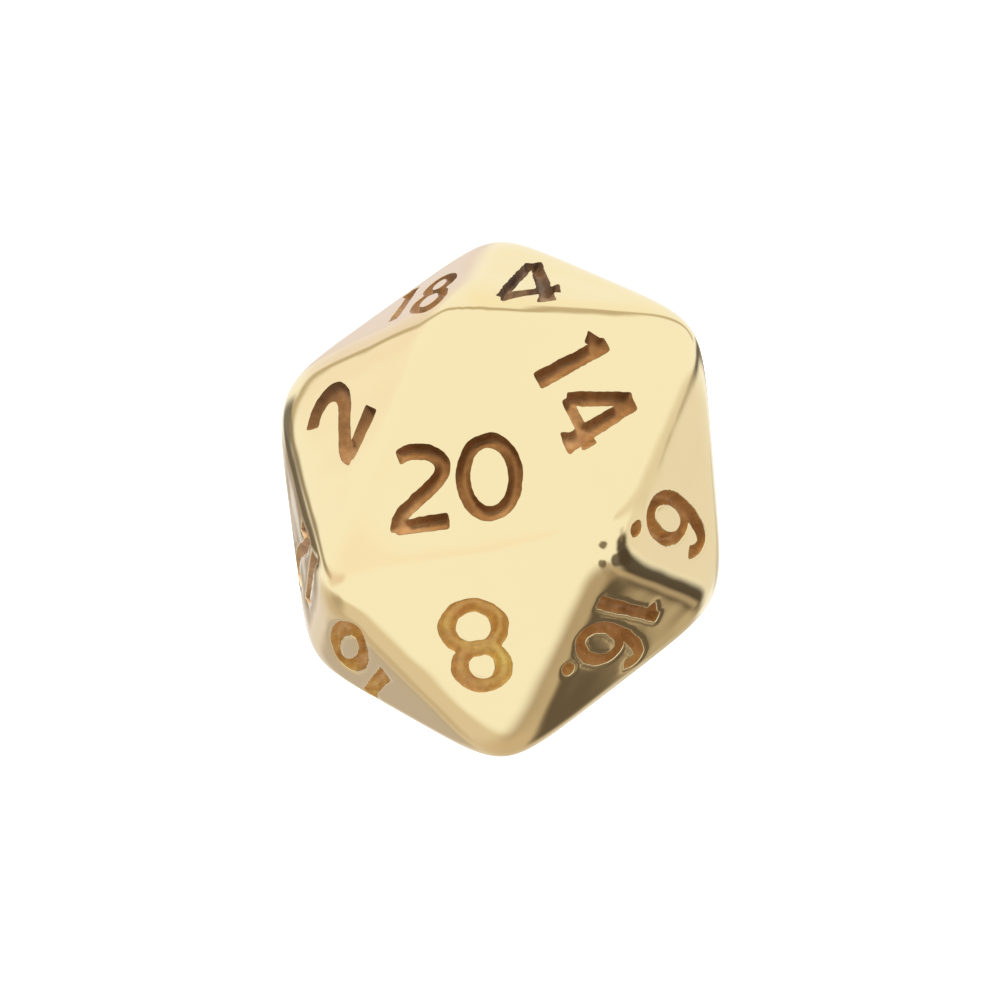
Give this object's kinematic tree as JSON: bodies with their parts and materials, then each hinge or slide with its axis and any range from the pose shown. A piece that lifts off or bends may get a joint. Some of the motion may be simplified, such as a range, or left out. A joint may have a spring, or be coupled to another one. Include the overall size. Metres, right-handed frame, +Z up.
{
  "type": "twenty-sided die",
  "caption": "Polyhedral die with triangular faces, softly rounded edges and a sunk, brown-filled numeral on each face; rolled to pick a random number.",
  "frame": {"origin": "centre of the flat face that carries the 1, which the die rests on", "axes": "+Z up, out of the face that carries the 20; X along the die's narrow width; +Y along its long width"},
  "size_m": [0.0216, 0.0236, 0.02],
  "materials": {
    "gold_metal": "polished",
    "numeral_fill": "semi-matte"
  },
  "bodies": {
    "root": {"die_body": "gold_metal", "numeral_01": "numeral_fill", "numeral_02": "numeral_fill", "numeral_03": "numeral_fill", "numeral_04": "numeral_fill", "numeral_05": "numeral_fill", "numeral_06": "numeral_fill", "numeral_07": "numeral_fill", "numeral_08": "numeral_fill", "numeral_09": "numeral_fill", "numeral_10": "numeral_fill", "numeral_11": "numeral_fill", "numeral_12": "numeral_fill", "numeral_13": "numeral_fill", "numeral_14": "numeral_fill", "numeral_15": "numeral_fill", "numeral_16": "numeral_fill", "numeral_17": "numeral_fill", "numeral_18": "numeral_fill", "numeral_19": "numeral_fill", "numeral_20": "numeral_fill"}
  },
  "joints": []
}
